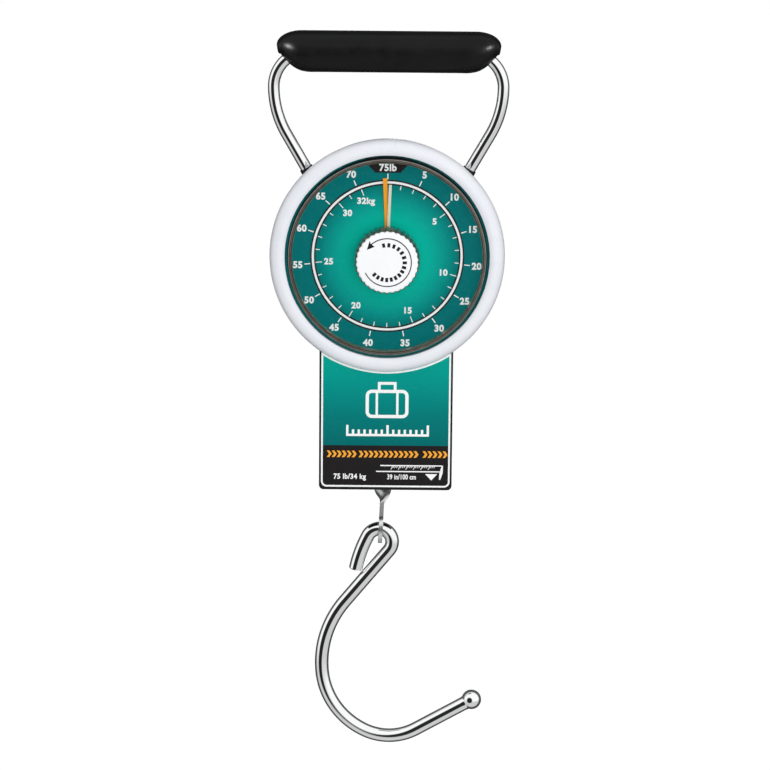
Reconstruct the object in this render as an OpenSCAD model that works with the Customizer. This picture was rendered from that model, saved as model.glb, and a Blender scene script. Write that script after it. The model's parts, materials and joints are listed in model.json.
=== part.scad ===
// Hanging luggage scale: spring balance with a round dial, a reset knob, a hook
// and a short tape measure in the tail of the case.
// Millimetres, +Z up, front towards -Y. The origin is the centre of the grip.

/* [Grip and bail] */
// Length of the grip from nose to nose
grip_len = 95; // [90:0.1:98]
// Diameter of the grip
grip_d = 17.6; // [16:0.1:18.4]
// Diameter of the bail wire
bail_d = 5; // [4:0.1:5.4]
// Distance from the middle to the bail wire's centre at its widest
bail_half_w = 48.7; // [48:0.1:50]
// Radius of the bend between the grip and the bail's leg
bail_top_r = 15; // [14:0.1:16]
// Radius of the long bend that turns the leg inwards
bail_side_r = 40; // [36:0.5:44]

/* [Case] */
// Distance from the grip's axis down to the centre of the dial
dial_drop = 85.7; // [85:0.1:87]
// Distance from the grip's axis down to the bottom of the case
case_drop = 187.8; // [186:0.1:190]
// Diameter of the round part of the case
drum_d = 92; // [91:0.1:92.2]
// Width of the tail of the case
tail_w = 57.2; // [56:0.1:58]
// Depth of the front shell, in front of the seam
front_depth = 10.5; // [10:0.1:10.5]
// Depth of the rear shell, behind the seam
rear_depth = 13; // [13:0.1:14]
// Wall thickness of both shells
wall = 2; // [1.6:0.1:2.2]

/* [Bezel and window] */
// Diameter of the white bezel ring
bezel_d = 100; // [99:0.1:101]
// Diameter of the opening in the bezel ring
bezel_opening_d = 87; // [86:0.1:87.4]
// Diameter of the bezel's skirt
skirt_d = 96; // [95.4:0.1:96.4]
// Diameter of the raised part of the window
window_d = 83.8; // [83:0.1:84]

/* [Pointers and knob] */
// Diameter of the reset knob
knob_d = 27; // [25:0.1:28]
// Height of the knob above the window
knob_h = 12; // [10:0.1:13]
// Number of scallops round the knob
knob_scallops = 34; // [24:2:40]
// Length of the live pointer from the centre
live_len = 33.5; // [31:0.1:34]
// Length of the memory pointer from the centre
memory_len = 30.9; // [29:0.1:31]

/* [Spring balance] */
// Module of the rack and pinion
gear_module = 0.5; // [0.5]
// Number of teeth on the pinion
pinion_teeth = 14; // [14]
// Outside diameter of the main springs
spring_d = 10; // [9:0.1:10]
// Wire diameter of the main springs
spring_wire = 1.8; // [1.6:0.1:1.8]
// Distance from the middle to each main spring
spring_x = 19; // [19:0.1:19.5]
// Width of the pull bar's stem
stem_w = 7; // [6.4:0.1:7.4]
// Thickness of the pull bar
bar_t = 2; // [1.8:0.1:2]

/* [Hook] */
// Diameter of the hook rod
hook_d = 6; // [5.6:0.1:6.2]
// Diameter of the ball on the hook's end
ball_d = 8.6; // [8:0.1:9]
// Distance from the grip's axis down to the wire in the eye
hook_drop = 207.6; // [207:0.1:208]

/* [Tape measure] */
// Width of the tape
tape_w = 6.4; // [6:0.1:6.4]
// Radius of the tape wound on its reel
coil_r = 12.3; // [12:0.1:12.4]
// Radius of the reel's flanges
reel_r = 14; // [13.6:0.1:14]

/* [Hidden] */
$fn = 96;
gap = 0.3;
tiny = 0.02;
bend_step = 7.5;

// Main positions
dial_z = -dial_drop;
case_z = -case_drop;
drum_r = drum_d / 2;
tail_x = tail_w / 2;
tail_corner_r = 2;
bail_r = bail_d / 2;
bail_end_z = -64;
foot_z = bail_end_z + 2;
bail_straight_x = bail_half_w - bail_top_r;
leg_tilt = 30;
leg_top_x = bail_half_w - bail_side_r * (1 - cos(leg_tilt));
leg_top_z = -bail_top_r - bail_side_r * sin(leg_tilt);
leg_len = (leg_top_z - bail_end_z) / cos(leg_tilt);
leg_end_x = leg_top_x - leg_len * sin(leg_tilt);
bail_leg = [[leg_len, 0], [bail_side_r, -leg_tilt], [bail_top_r, -90]];
bail_steps = concat(bail_leg, [[2 * bail_straight_x, 0]], [for (i = [2:-1:0]) bail_leg[i]]);
foot_r = 2;
grip_cut_x = 38.8;
grip_cut_tilt = 48;
collar_r = 2.95;
collar_from = 16.9;
collar_to = 23.6;

// Case, its bosses and its screws
boss_r = 3;
screw_r = 1.1;
screw_head_r = 2.4;
screw_head_depth = 3.5;
case_screw_at = [for (x = [-35, 35], z = [dial_z + 18, dial_z - 18]) [x, z],
    for (x = [-23.4, 23.4]) [x, case_z + 5.6]];
bezel_tube_r = 4.3;
bezel_y = -11.2;
skirt_end_y = 7;
skirt_slot_x = [0.95, 2.75, 4.4];
label_inset = 0.8;
label_t = 0.3;

// Layers in front of the case, from the dial outwards
dial_t = 0.8;
dial_y = -front_depth - dial_t;
flange_t = 1.2;
pane_t = 1.4;
pane_y = dial_y - 4.9;
memory_y = -13.9;
live_y = -12.7;
pointer_t = 0.4;
knob_y = pane_y - knob_h;
face_t = 1.4;
scallop_r = 0.95;
neck_r = 7;
hub_pin_r = 1.6;

// Spring balance
pitch_r = gear_module * pinion_teeth / 2;
travel = 2 * PI * pitch_r;
tooth_pitch = PI * gear_module;
frame_y0 = 7.5;
frame_t = 1.5;
pin_z = -62;
yoke_z = -122;
stem_x = -1;
rack_y0 = -3.2;
rack_t = 2.2;
rack_back_x = 8.6;
arm_x0 = 5.6;
arm_x1 = 9.6;
rack_top_z = dial_z + travel + 4;
rack_bottom_z = dial_z - 4;
shaft_r = 1;
bush_r = 3;
bush_flange_r = 4.2;
running_gap = 0.05;
flank_angle = 20;
backlash = 0.06;
pin_r = 1.5;
pin_head_r = 2.6;
yoke_hole_r = 1.6;
rivet_r = 0.8;
rivet_head_r = 1.4;
rivet_x = 7;
rivet_z = [rack_top_z - 2.5, rack_bottom_z + 2];
frame_post_r = 2.2;
frame_post_at = [[0, dial_z + 26], [-22, dial_z - 3], [22, dial_z - 3]];
bushing_w = stem_w + 4;
bushing_d = bar_t + 4;

// Main springs: close-wound rings with a loop at each end
coil_turns = 24;
coil_bottom_z = yoke_z + 8;
coil_top_z = coil_bottom_z + coil_turns * spring_wire;
loop_r = 3;
loop_wire_r = spring_wire / 2 - 0.1;
top_loop_z = pin_z - (loop_r - loop_wire_r - pin_r - 0.05);
bottom_loop_z = yoke_z + 0.2 + loop_r;

// Eye and hook
hook_x = -2;
hook_z = -hook_drop;
eye_hole_r = 4.6;
eye_r = 6.8;
eye_t = 1.8;
eye_z = hook_z + 0.5;
eye_lean = 2.5;
twist_z = case_z - 1;
twist_h = 6.5;
tip_side = [[6.1, 62.8], [57, 15.6]];
hook_tip_steps = [for (i = [1:-1:0]) [tip_side[i][0], -tip_side[i][1]]];
ball_side = [[3.3, -16.5], [6, -113.1], [30, 0], [43.4, 44.7], [33.3, 60.8], [24.3, 53.4],
    [28, 0]];

// Tape measure
reel_x = 7.2;
reel_z = -163;
tape_x = reel_x + coil_r;
tape_y = 6.5;
tape_t = 0.2;
flange_w = 0.7;
hub_r = 8.6;
hub_inner_r = 7.6;
arbor_r = 2.4;
cover_y = 1.4;

hook_tip = stations(tip_side, [hook_x, hook_z, 180]);
hook_start = let (p = hook_tip[len(hook_tip) - 1]) [p[0], p[1], p[2] - 180];

// ---- helpers ----

// Extrudes a front-view outline from y0 back to y1
module slab(y0, y1) {
    translate([0, y1, 0]) rotate([90, 0, 0]) linear_extrude(y1 - y0) children();
}

// A cylinder along Y from y0 back to y1
module rod_y(x, z, r, y0, y1) {
    translate([x, y1, z]) rotate([90, 0, 0]) cylinder(r = r, h = y1 - y0);
}

// A profile of (radius, y) turned round the dial's axis
module turned() {
    translate([0, 0, dial_z]) rotate([-90, 0, 0]) rotate_extrude($fn = 180) children();
}

module rounded_rect(w, h, r) {
    translate([-w / 2 + r, 0]) square([w - 2 * r, h]);
    translate([-w / 2, r]) square([w, h - 2 * r]);
    for (x = [-1, 1], y = [r, h - r])
        translate([x * (w / 2 - r), y]) circle(r);
}

// One bend of a wire that starts at the origin along +X and turns towards +Z
module bend(radius, angle, r) {
    translate([0, 0, radius]) rotate([90, 0, 0]) rotate([0, 0, -90])
        rotate_extrude(angle = angle) translate([radius, 0]) circle(r, $fn = 48);
}

// Stations [x, z, heading] along a wire in the XZ plane. Each step is [length, 0]
// for a straight run or [radius, turn] for a bend, with a positive turn to the left.
function run(step, from) = let (a = from[2], b = a + step[1], s = sign(step[1]))
    step[1] == 0 ? [from[0] + step[0] * cos(a), from[1] + step[0] * sin(a), a] :
    [from[0] + s * step[0] * (sin(b) - sin(a)), from[1] - s * step[0] * (cos(b) - cos(a)), b];
function stations(steps, from, i = 0) = i == len(steps) ? [from] :
    let (n = max(1, ceil(abs(steps[i][1]) / bend_step)))
    concat([for (k = [0:n - 1]) k == 0 ? from : run([steps[i][0], steps[i][1] * k / n], from)],
        stations(steps, run(steps[i], from), i + 1));

// A round wire swept along those stations as one solid
module wire(steps, r, from) {
    sides = 20;
    path = stations(steps, from);
    rings = len(path);
    points = [for (p = path) for (j = [0:sides - 1]) let (t = j * 360 / sides)
        [p[0] - r * cos(t) * sin(p[2]), r * sin(t), p[1] + r * cos(t) * cos(p[2])]];
    walls = [for (i = [0:rings - 2]) for (j = [0:sides - 1]) let (k = (j + 1) % sides)
        [i * sides + j, i * sides + k, (i + 1) * sides + k, (i + 1) * sides + j]];
    polyhedron(points, concat([[for (j = [sides - 1:-1:0]) j]], walls,
        [[for (j = [0:sides - 1]) (rings - 1) * sides + j]]), convexity = 8);
}

// Outline of the case: round drum and straight tail
module case_outline(inset) {
    translate([0, dial_z]) circle(drum_r - inset, $fn = 180);
    translate([0, case_z + inset])
        rounded_rect(tail_w - 2 * inset, dial_z - case_z, tail_corner_r);
}

// ---- grip and bail ----

module bail_wire() {
    color("silver") {
        wire(bail_steps, bail_r, [-leg_end_x, bail_end_z, 90 + leg_tilt]);
        for (x = [-1, 1])
            rod_y(x * leg_end_x, foot_z, foot_r, -1, rear_depth - wall - 0.4);
    }
}

module grip_solid() {
    straight = grip_len - grip_d;
    rotate([0, 90, 0]) cylinder(d = grip_d, h = straight, center = true);
    for (x = [-1, 1])
        translate([x * straight / 2, 0, 0]) sphere(d = grip_d);
}

module grip_wire_space() {
    r = bail_r + 0.05;
    rotate([0, 90, 0]) cylinder(r = r, h = 2 * bail_straight_x, center = true, $fn = 48);
    for (x = [0, 1])
        mirror([x, 0, 0]) translate([bail_straight_x, 0, 0]) mirror([0, 0, 1])
            bend(bail_top_r, 60, r);
}

// One moulding, cut back below at both ends where the bail comes out
module grip() {
    color("#1c1c1c") difference() {
        grip_solid();
        for (x = [0, 1])
            mirror([x, 0, 0]) translate([grip_cut_x, -20, -grip_d / 2])
                rotate([0, -grip_cut_tilt, 0]) translate([0, 0, -30]) cube([40, 40, 30]);
        grip_wire_space();
    }
}

// A cylinder along the leg of the bail, between two distances from its top
module leg_sleeve(r, from, to) {
    translate([leg_top_x, 0, leg_top_z]) rotate([0, 180 + leg_tilt, 0])
        translate([0, 0, from]) cylinder(r = r, h = to - from);
}

module bail_collars() {
    color("#202020") for (x = [0, 1])
        mirror([x, 0, 0]) difference() {
            leg_sleeve(collar_r, collar_from, collar_to);
            leg_sleeve(bail_r + tiny, collar_from - 1, collar_to + 1);
        }
}

module push_nuts() {
    color("gray") for (x = [-1, 1])
        difference() {
            rod_y(x * leg_end_x, foot_z, 4, frame_y0 + frame_t + tiny, frame_y0 + frame_t + 1);
            rod_y(x * leg_end_x, foot_z, foot_r + tiny, 0, rear_depth);
        }
}

// ---- case ----

module wire_notches() {
    for (x = [0, 1])
        mirror([x, 0, 0]) leg_sleeve(collar_r + tiny, collar_from - 8, collar_to + 3);
}

module stem_slot(clear) {
    translate([stem_x - stem_w / 2 - clear, -bar_t / 2 - clear, case_z - 5])
        cube([stem_w + 2 * clear, bar_t + 2 * clear, 12]);
}

module front_case() {
    color("#161616") difference() {
        union() {
            difference() {
                slab(-front_depth, 0) case_outline(0);
                slab(-front_depth + wall, 1) case_outline(wall);
            }
            for (p = case_screw_at) rod_y(p[0], p[1], boss_r, -front_depth + wall, 0);
            rod_y(0, dial_z, bush_flange_r + 0.3, -front_depth + wall, -5);
        }
        for (p = case_screw_at) rod_y(p[0], p[1], screw_r, -front_depth + wall + 1, 1);
        rod_y(0, dial_z, bush_r, -front_depth - 1, 0);
        wire_notches();
        bushing_space();
    }
}

module rear_case() {
    color("#161616") difference() {
        union() {
            difference() {
                slab(0.05, rear_depth) case_outline(0);
                slab(-1, rear_depth - wall) case_outline(wall);
            }
            for (p = case_screw_at) rod_y(p[0], p[1], boss_r, 0.05, rear_depth - wall);
            for (p = frame_post_at)
                rod_y(p[0], p[1], frame_post_r, frame_y0 + frame_t, rear_depth - wall);
        }
        for (p = case_screw_at) {
            rod_y(p[0], p[1], screw_r + gap, -1, rear_depth + 1);
            rod_y(p[0], p[1], screw_head_r + 0.2, rear_depth - screw_head_depth, rear_depth + 1);
        }
        wire_notches();
        bushing_space();
        translate([tape_x - 1.9, 2.2, case_z - 1]) cube([3.8, 8.6, wall + 2]);
    }
}

module case_screws() {
    color("dimgray") for (p = case_screw_at)
        difference() {
            union() {
                rod_y(p[0], p[1], screw_head_r, rear_depth - screw_head_depth, rear_depth - 1.6);
                rod_y(p[0], p[1], screw_r - tiny, -6, rear_depth - screw_head_depth);
            }
            translate([p[0], rear_depth - 1.4, p[1]]) {
                cube([3.2, 2, 0.6], center = true);
                cube([0.6, 2, 3.2], center = true);
            }
        }
}

module bushing_space() {
    translate([stem_x - bushing_w / 2, -bushing_d / 2, case_z - 1])
        cube([bushing_w, bushing_d, wall + 1.5]);
}

module stem_bushing() {
    color("ivory") difference() {
        union() {
            translate([stem_x - bushing_w / 2 + tiny, -bushing_d / 2 + tiny, case_z])
                cube([bushing_w - 2 * tiny, bushing_d - 2 * tiny, wall + 0.7]);
            translate([stem_x - bushing_w / 2 - 1.5, -bushing_d / 2 - 1.5, case_z + wall + 0.52])
                cube([bushing_w + 3, bushing_d + 3, 1]);
        }
        stem_slot(gap);
    }
}

module bezel_ring() {
    color("white") difference() {
        turned() difference() {
            union() {
                translate([bezel_d / 2 - bezel_tube_r, bezel_y]) circle(bezel_tube_r, $fn = 72);
                translate([drum_r + gap, -10])
                    square([skirt_d / 2 - drum_r - gap, skirt_end_y + 10]);
            }
            translate([0, -40]) square([bezel_opening_d / 2, 60]);
            translate([0, dial_y - flange_t - 0.05]) square([drum_r + gap, 40]);
        }
        for (x = [0, 1])
            mirror([x, 0, 0]) leg_sleeve(collar_r + gap, 8, 22);
        for (x = skirt_slot_x)
            translate([x - 0.35, skirt_end_y - 3, dial_z + drum_r]) cube([0.7, 6, 6]);
        translate([-tail_x - gap, -front_depth - label_t - 0.05, dial_z - 60])
            cube([tail_w + 2 * gap, 30, 30]);
    }
}

module dial_window() {
    rim_r = window_d / 2;
    color("lightcyan", 0.4) turned() {
        difference() {
            union() {
                translate([0, dial_y - flange_t]) square([drum_r - gap, flange_t - 0.05]);
                translate([0, pane_y + 1]) square([rim_r, dial_y - pane_y - 1.1]);
                translate([rim_r - 1, pane_y + 1]) circle(1, $fn = 48);
                translate([0, pane_y]) square([rim_r - 1, 3]);
            }
            translate([0, pane_y + pane_t]) square([rim_r - 1.2, 20]);
            translate([0, pane_y - 1]) square([neck_r + running_gap, 20]);
        }
    }
}

module dial_plate() {
    color("teal") difference() {
        rod_y(0, dial_z, drum_r - gap, dial_y, -front_depth);
        rod_y(0, dial_z, 2.4, dial_y - 1, 0);
    }
}

module front_label() {
    color("teal") slab(-front_depth - label_t, -front_depth) difference() {
        translate([0, case_z + label_inset])
            rounded_rect(tail_w - 2 * label_inset, dial_z - case_z, 2.4);
        translate([0, dial_z]) circle(drum_r + gap, $fn = 180);
    }
}

// ---- fixed parts of the spring balance ----

module frame_plate() {
    color("lightsteelblue") difference() {
        slab(frame_y0, frame_y0 + frame_t) {
            translate([0, dial_z - 8]) rounded_rect(63, 38, 4);
            translate([0, dial_z - 22]) rounded_rect(24, 20, 4);
        }
        for (x = [-1, 1]) {
            rod_y(x * leg_end_x, foot_z, foot_r + tiny, 0, 20);
            rod_y(x * spring_x, pin_z, pin_r + tiny, 0, 20);
        }
        rod_y(0, dial_z, bush_r + tiny, 0, 20);
    }
}

module spring_pins() {
    color("silver") for (x = [-1, 1]) {
        rod_y(x * spring_x, pin_z, pin_r, -1.6, frame_y0 + frame_t + 0.6);
        rod_y(x * spring_x, pin_z, pin_head_r, -2.6, -1.6);
        rod_y(x * spring_x, pin_z, pin_head_r, frame_y0 - 1, frame_y0);
    }
}

module spring_loop() {
    rotate([90, 0, 0]) rotate_extrude($fn = 48)
        translate([loop_r, 0]) circle(loop_wire_r, $fn = 24);
}

// An extension spring: close-wound rings, with a loop round the pin above and
// a loop through the pull bar below
module main_spring(x) {
    mean_r = (spring_d - spring_wire) / 2;
    color("darkgray") translate([x, 0, 0]) {
        translate([0, 0, coil_bottom_z]) rotate_extrude($fn = 48)
            for (i = [0:coil_turns - 1])
                translate([mean_r, (i + 0.5) * spring_wire])
                    circle(spring_wire / 2 + 0.08, $fn = 24);
        translate([0, 0, top_loop_z]) spring_loop();
        translate([0, 0, bottom_loop_z]) rotate([0, 0, 90]) spring_loop();
        for (z = [coil_bottom_z + 0.5, coil_top_z - 1.2])
            translate([0, 0, z]) cylinder(r = mean_r, h = 0.7);
        translate([0, 0, coil_top_z - 1])
            cylinder(r = loop_wire_r, h = top_loop_z - loop_r - coil_top_z + 1);
        translate([0, 0, bottom_loop_z + loop_r])
            cylinder(r = loop_wire_r, h = coil_bottom_z + 1 - bottom_loop_z - loop_r);
    }
}

module main_spring_left() {
    main_spring(-spring_x);
}

module main_spring_right() {
    main_spring(spring_x);
}

module rack_guide() {
    color("ivory") {
        translate([arm_x1 + gap, -front_depth + wall, dial_z - 5]) cube([3, 10, 10]);
        translate([rack_back_x - 2, -front_depth + wall, dial_z - 5]) cube([6, 3.9, 10]);
    }
}

module bushing_front() {
    color("goldenrod") difference() {
        union() {
            rod_y(0, dial_z, bush_r - tiny, -front_depth, -4.6);
            rod_y(0, dial_z, bush_flange_r, -4.98, -4.1);
        }
        rod_y(0, dial_z, shaft_r + running_gap, -20, 0);
    }
}

module bushing_rear() {
    color("goldenrod") difference() {
        union() {
            rod_y(0, dial_z, bush_r, frame_y0 - 2, frame_y0 + frame_t);
            rod_y(0, dial_z, bush_flange_r, frame_y0 - 2, frame_y0 - tiny);
        }
        rod_y(0, dial_z, shaft_r + running_gap, 0, 20);
    }
}

// ---- sliding parts ----

module pull_bar() {
    yoke_h = 10;
    stem_top = yoke_z + 2;
    color("gainsboro") {
        difference() {
            slab(-bar_t / 2, bar_t / 2) {
                translate([0, yoke_z - yoke_h / 2])
                    rounded_rect(2 * spring_x + yoke_h, yoke_h, 3);
                translate([arm_x0, yoke_z])
                    square([arm_x1 - arm_x0, rack_top_z - yoke_z]);
                translate([stem_x - stem_w / 2, twist_z])
                    square([stem_w, stem_top - twist_z]);
            }
            for (x = [-1, 1])
                rod_y(x * spring_x, yoke_z + 0.2, yoke_hole_r, -bar_t, bar_t);
            for (z = rivet_z)
                rod_y(rivet_x, z, rivet_r + tiny, -bar_t, bar_t);
        }
        translate([stem_x, 0, twist_z]) rotate([0, eye_lean, 0]) {
            mirror([0, 0, 1]) linear_extrude(twist_h, twist = 90, slices = 24, $fn = 16)
                square([stem_w, bar_t], center = true);
            difference() {
                union() {
                    translate([-eye_t / 2, -stem_w / 2, eye_z - twist_z])
                        cube([eye_t, stem_w, twist_z - twist_h - eye_z + 0.5]);
                    translate([0, 0, eye_z - twist_z]) rotate([0, 90, 0])
                        cylinder(r = eye_r, h = eye_t, center = true);
                }
                translate([0, 0, eye_z - twist_z]) rotate([0, 90, 0])
                    cylinder(r = eye_hole_r, h = 20, center = true);
            }
        }
    }
}

// Rack profile: straight flanks, thinned a little for backlash
module rack() {
    addendum = gear_module;
    dedendum = 1.25 * gear_module;
    half_tip = tooth_pitch / 4 - addendum * tan(flank_angle) - backlash;
    half_root = tooth_pitch / 4 + dedendum * tan(flank_angle) - backlash;
    first = ceil((rack_bottom_z - dial_z) / tooth_pitch - 0.5);
    last = floor((rack_top_z - dial_z) / tooth_pitch - 0.5);
    color("goldenrod") difference() {
        slab(rack_y0, rack_y0 + rack_t) {
            translate([pitch_r + dedendum, rack_bottom_z])
                square([rack_back_x - pitch_r - dedendum, rack_top_z - rack_bottom_z]);
            for (i = [first:last])
                translate([pitch_r, dial_z + (i + 0.5) * tooth_pitch])
                    polygon([[-addendum, half_tip], [-addendum, -half_tip],
                        [dedendum, -half_root], [dedendum + 0.2, -half_root],
                        [dedendum + 0.2, half_root], [dedendum, half_root]]);
        }
        for (z = rivet_z)
            rod_y(rivet_x, z, rivet_r + tiny, rack_y0 - 1, bar_t);
    }
}

module rack_rivets() {
    color("silver") for (z = rivet_z) {
        rod_y(rivet_x, z, rivet_r, rack_y0 - 0.3, bar_t / 2 + 0.3);
        rod_y(rivet_x, z, rivet_head_r, rack_y0 - 0.9, rack_y0);
        rod_y(rivet_x, z, rivet_head_r, bar_t / 2, bar_t / 2 + 0.6);
    }
}

// ---- turning parts of the dial ----

module pointer_shaft() {
    color("silver") {
        rod_y(0, dial_z, shaft_r, live_y - 0.7, frame_y0 + frame_t + 0.4);
        rod_y(0, dial_z, 1.8, rack_y0 + rack_t + 0.3, rack_y0 + rack_t + 1.5);
    }
}

// Involute of the base circle at the angle where its radius is r
function involute_angle(base_r, r) = sqrt(pow(r / base_r, 2) - 1) * 180 / PI - acos(base_r / r);
function polar(r, a) = [r * cos(a), r * sin(a)];

module pinion_tooth(base_r, root_r, tip_r) {
    steps = 6;
    half = 90 / pinion_teeth - backlash / pitch_r * 180 / PI + involute_angle(base_r, pitch_r);
    lower = [for (i = [0:steps]) let (r = base_r + (tip_r - base_r) * i / steps)
        polar(r, involute_angle(base_r, r) - half)];
    upper = [for (i = [steps:-1:0]) [lower[i][0], -lower[i][1]]];
    polygon(concat([polar(root_r - 0.2, -half)], lower, upper, [polar(root_r - 0.2, half)]));
}

module pinion() {
    root_r = pitch_r - 1.15 * gear_module;
    tip_r = pitch_r + 0.9 * gear_module;
    color("goldenrod") difference() {
        translate([0, 0, dial_z]) rotate([90, 0, 0]) translate([0, 0, -rack_y0 - rack_t])
            linear_extrude(rack_t) {
                circle(root_r);
                for (i = [0:pinion_teeth - 1])
                    rotate(i * 360 / pinion_teeth)
                        pinion_tooth(pitch_r * cos(flank_angle), root_r, tip_r);
            }
        rod_y(0, dial_z, shaft_r + tiny, -10, 10);
    }
}

module pointer_hub() {
    color("silver") difference() {
        union() {
            rod_y(0, dial_z, hub_pin_r, live_y - 0.5, live_y + 0.6);
            rod_y(0, dial_z, 2.2, live_y + pointer_t + tiny, live_y + 0.6);
        }
        rod_y(0, dial_z, shaft_r + tiny, -20, 0);
    }
}

// A flat pointer with a ring at its root, turned by angle from straight up
module pointer(angle, length, root_w, tip_w, ring_r, bore_r, y) {
    translate([0, 0, dial_z]) rotate([0, angle, 0]) slab(y, y + pointer_t) difference() {
        union() {
            circle(ring_r);
            polygon([[-root_w / 2, 0], [root_w / 2, 0], [tip_w / 2, length], [-tip_w / 2, length]]);
            translate([-root_w, -9]) square([2 * root_w, 9]);
        }
        circle(bore_r);
    }
}

module live_pointer() {
    color("orange") pointer(-2, live_len, 1, 1.85, 3.4, hub_pin_r + tiny, live_y);
}

module scalloped(r) {
    circle(r - 0.55);
    for (i = [0:knob_scallops - 1])
        rotate(i * 360 / knob_scallops) translate([r - scallop_r, 0])
            circle(scallop_r, $fn = 24);
}

module knob_body() {
    color("#4a4640") difference() {
        union() {
            translate([0, 0, dial_z]) slab(knob_y + face_t, pane_y - 0.3) scalloped(knob_d / 2);
            rod_y(0, dial_z, neck_r, pane_y - 0.5, memory_y + pointer_t + 0.1);
        }
        rod_y(0, dial_z, 3.2, knob_y + 4, 0);
    }
}

module knob_face() {
    color("white") translate([0, 0, dial_z]) slab(knob_y, knob_y + face_t) scalloped(knob_d / 2);
}

module memory_pointer() {
    color("ivory") pointer(2, memory_len, 1.25, 1.25, neck_r + 2, neck_r + tiny, memory_y);
}

module knob_retainer() {
    color("silver") difference() {
        rod_y(0, dial_z, neck_r + 1.6, memory_y - 0.5, memory_y - 0.05);
        rod_y(0, dial_z, neck_r + tiny, -40, 0);
    }
}

module friction_washer() {
    color("saddlebrown") difference() {
        rod_y(0, dial_z, neck_r + 1.5, memory_y - 0.83, memory_y - 0.53);
        rod_y(0, dial_z, neck_r + running_gap, -40, 0);
    }
}

// ---- hook ----

// The rod runs from the short end, over the eye and down round the bowl to the ball
module hook_rod() {
    color("silver") wire(concat(hook_tip_steps, ball_side), hook_d / 2, hook_start);
}

module hook_ball() {
    end = stations(ball_side, [hook_x, hook_z, 0]);
    last = end[len(end) - 1];
    color("silver") translate([last[0], 0, last[1]]) difference() {
        sphere(d = ball_d);
        rotate([0, -90 - last[2], 0]) cylinder(r = hook_d / 2 + tiny, h = ball_d);
    }
}

// ---- tape measure ----

module reel_arbor() {
    color("silver") difference() {
        rod_y(reel_x, reel_z, arbor_r, cover_y + 0.62, rear_depth - wall);
        rod_y(reel_x, reel_z, 0.9, -5, 8);
    }
}

module reel_cover() {
    color("#303030") difference() {
        rod_y(reel_x, reel_z, reel_r + 1, cover_y, cover_y + 0.6);
        rod_y(reel_x, reel_z, 1.1, -5, 8);
    }
}

module reel_screw() {
    color("dimgray") {
        rod_y(reel_x, reel_z, 0.9 - tiny, cover_y - 0.2, 7);
        rod_y(reel_x, reel_z, 2, cover_y - 0.8, cover_y - 0.02);
    }
}

// A flat spiral of spring strip between arbor and hub
module return_spring() {
    inner = arbor_r + 0.2;
    outer = hub_inner_r - 0.8;
    turns = 5;
    per_turn = 24;
    n = turns * per_turn;
    strip = 0.35;
    inside = [for (i = [0:n]) polar(inner + (outer - inner) * i / n, i * 360 / per_turn)];
    outside = [for (i = [n:-1:0]) polar(inner + strip + (outer - inner) * i / n, i * 360 / per_turn)];
    color("steelblue") translate([reel_x, 0, reel_z]) slab(tape_y - 2.5, tape_y + 2.5)
        polygon(concat(inside, outside));
}

module tape_reel() {
    half_w = tape_w / 2 + 0.1;
    color("ivory") translate([reel_x, tape_y, reel_z]) rotate([-90, 0, 0]) rotate_extrude() {
        translate([hub_inner_r, -half_w]) square([hub_r - hub_inner_r, 2 * half_w]);
        translate([hub_inner_r, half_w]) square([reel_r - hub_inner_r, flange_w]);
        translate([hub_inner_r, -half_w - flange_w]) square([reel_r - hub_inner_r, flange_w]);
    }
}

module tape_coil() {
    color("gold") difference() {
        rod_y(reel_x, reel_z, coil_r - tape_t, tape_y - tape_w / 2, tape_y + tape_w / 2);
        rod_y(reel_x, reel_z, hub_r + tiny, -5, 20);
    }
}

module tape_strip() {
    color("gold") translate([tape_x - tape_t, tape_y - tape_w / 2, case_z - 0.5])
        cube([tape_t, tape_w, reel_z - case_z + 0.5]);
}

module tape_mouth() {
    color("gray") difference() {
        translate([tape_x - 1.9 + tiny, 2.2 + tiny, case_z]) cube([3.8 - 2 * tiny, 8.6 - 2 * tiny, 2.6]);
        translate([tape_x - 0.9, 2.9, case_z - 5]) cube([1.6, 7.2, 12]);
    }
}

module tape_tab() {
    color("silver") {
        translate([tape_x - 3.5, 2.4, case_z - 1.3]) cube([7, 10, 0.8]);
        translate([tape_x - 3.5, 11.6, case_z - 3.5]) cube([7, 0.8, 2.6]);
    }
}

grip();
bail_wire();
bail_collars();
push_nuts();
front_case();
rear_case();
case_screws();
bezel_ring();
dial_window();
dial_plate();
front_label();
frame_plate();
spring_pins();
main_spring_left();
main_spring_right();
rack_guide();
bushing_front();
bushing_rear();
stem_bushing();
friction_washer();
pull_bar();
rack();
rack_rivets();
pointer_shaft();
pinion();
pointer_hub();
live_pointer();
knob_body();
knob_face();
knob_retainer();
memory_pointer();
hook_rod();
hook_ball();
reel_arbor();
reel_cover();
reel_screw();
return_spring();
tape_mouth();
tape_reel();
tape_coil();
tape_strip();
tape_tab();
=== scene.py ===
"""Looks of the hanging luggage scale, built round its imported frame.

Metres, +Z up, the dial faces -Y. The origin is the centre of the grip. Lengths that read best in
millimetres are written as a number times MM.
"""
import json
import math

import bmesh
import bpy
import numpy as np
from mathutils import Matrix, Vector


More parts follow.
